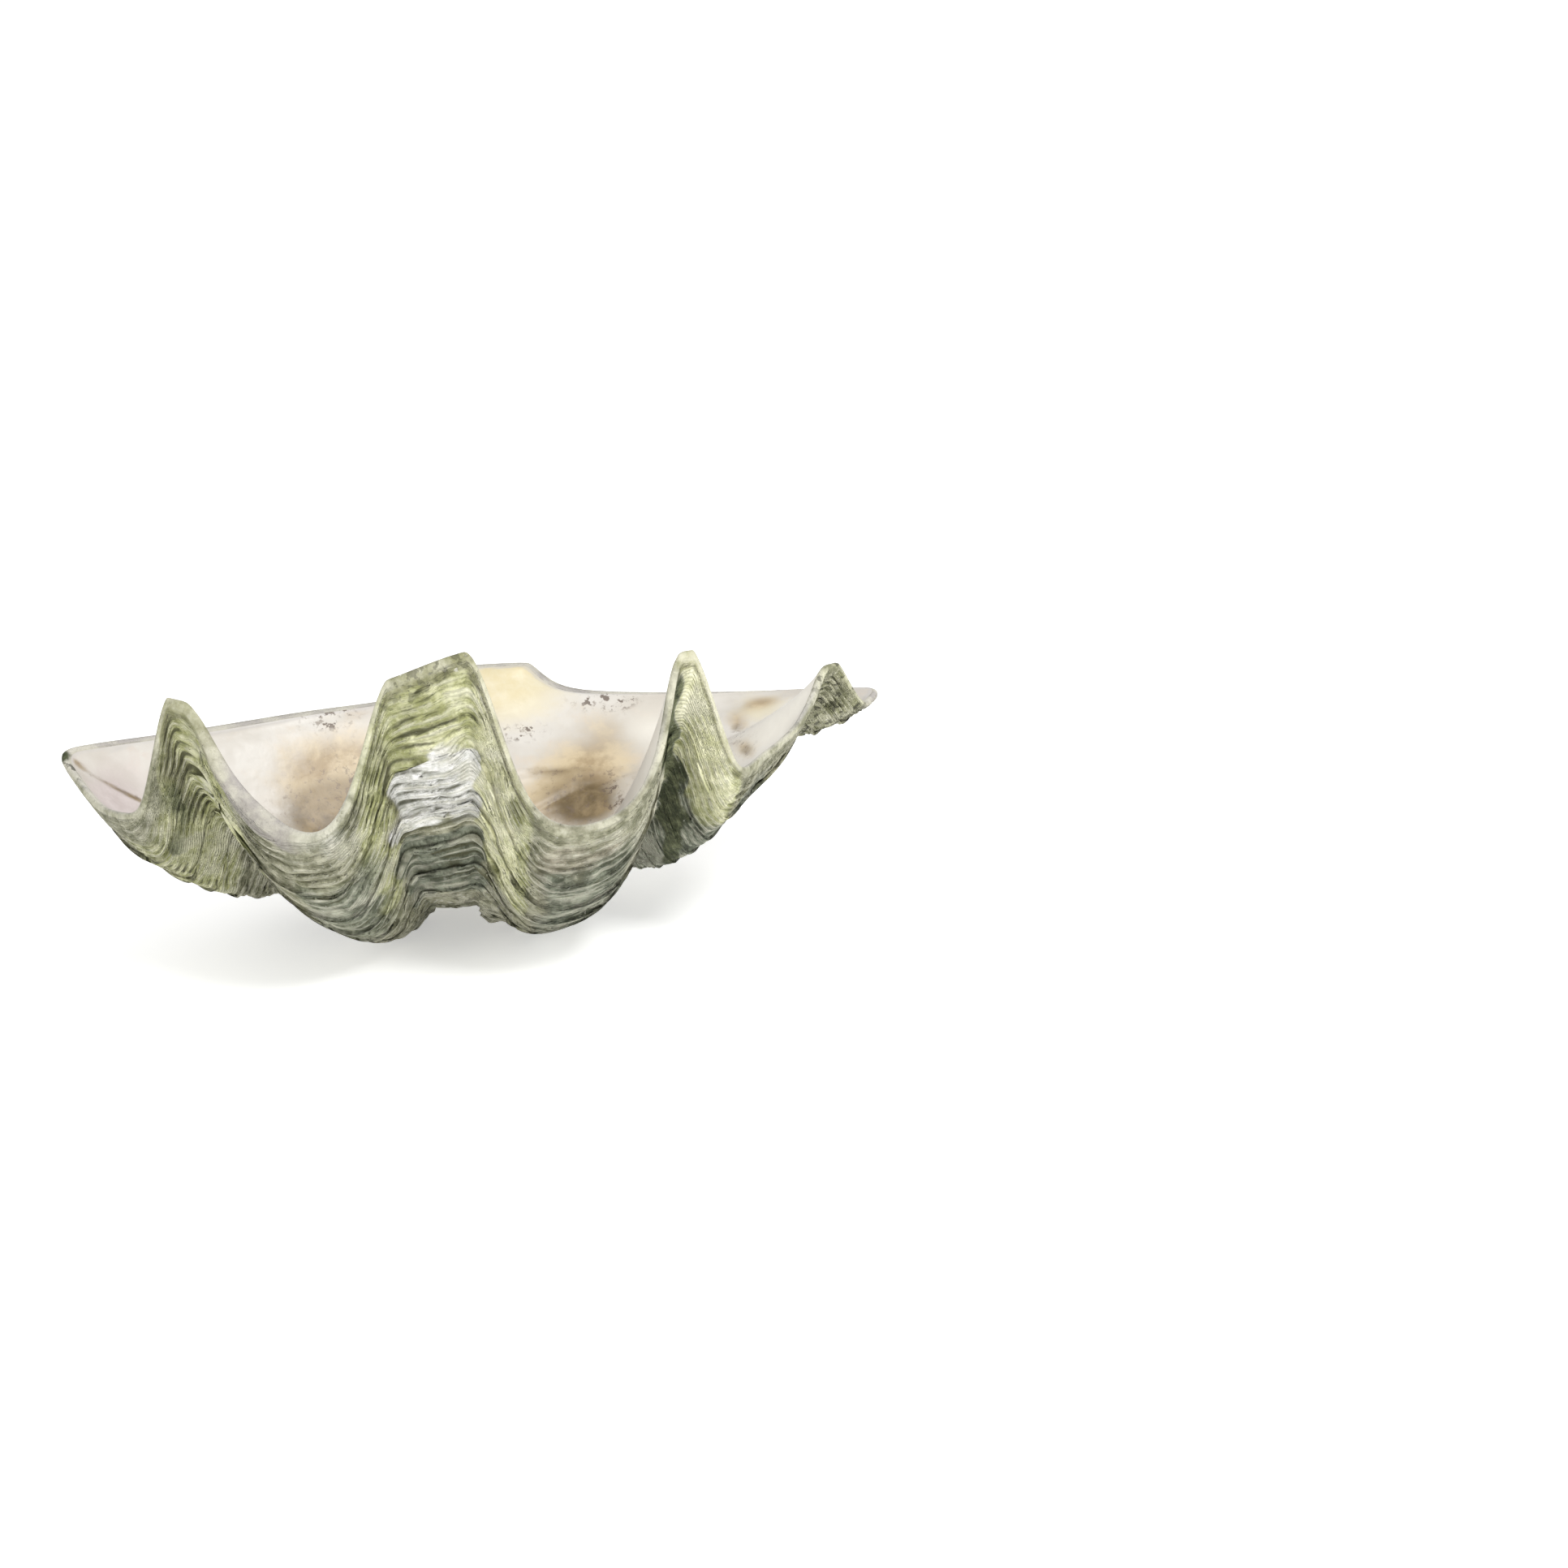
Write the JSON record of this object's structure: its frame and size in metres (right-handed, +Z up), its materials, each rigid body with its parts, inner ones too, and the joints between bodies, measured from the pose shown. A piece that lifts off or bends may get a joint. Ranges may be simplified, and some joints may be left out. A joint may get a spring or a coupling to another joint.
{
  "type": "giant clam shell",
  "caption": "One valve of a giant clam shell with broad ribs, tall folded tongues and a deep smooth bowl, lying hollow side up.",
  "frame": {"origin": "middle of the underside of the bounding box, on the floor under the two ribs it rests on", "axes": "+X along the hinge towards the narrower end, -Y out of the scalloped front edge, +Z up out of the hollow"},
  "size_m": [0.825, 0.4966, 0.3442],
  "materials": {
    "shell": "matt ridged lime outside, satin porcelain-like inside"
  },
  "bodies": {
    "root": {"valve": "shell"}
  },
  "joints": []
}
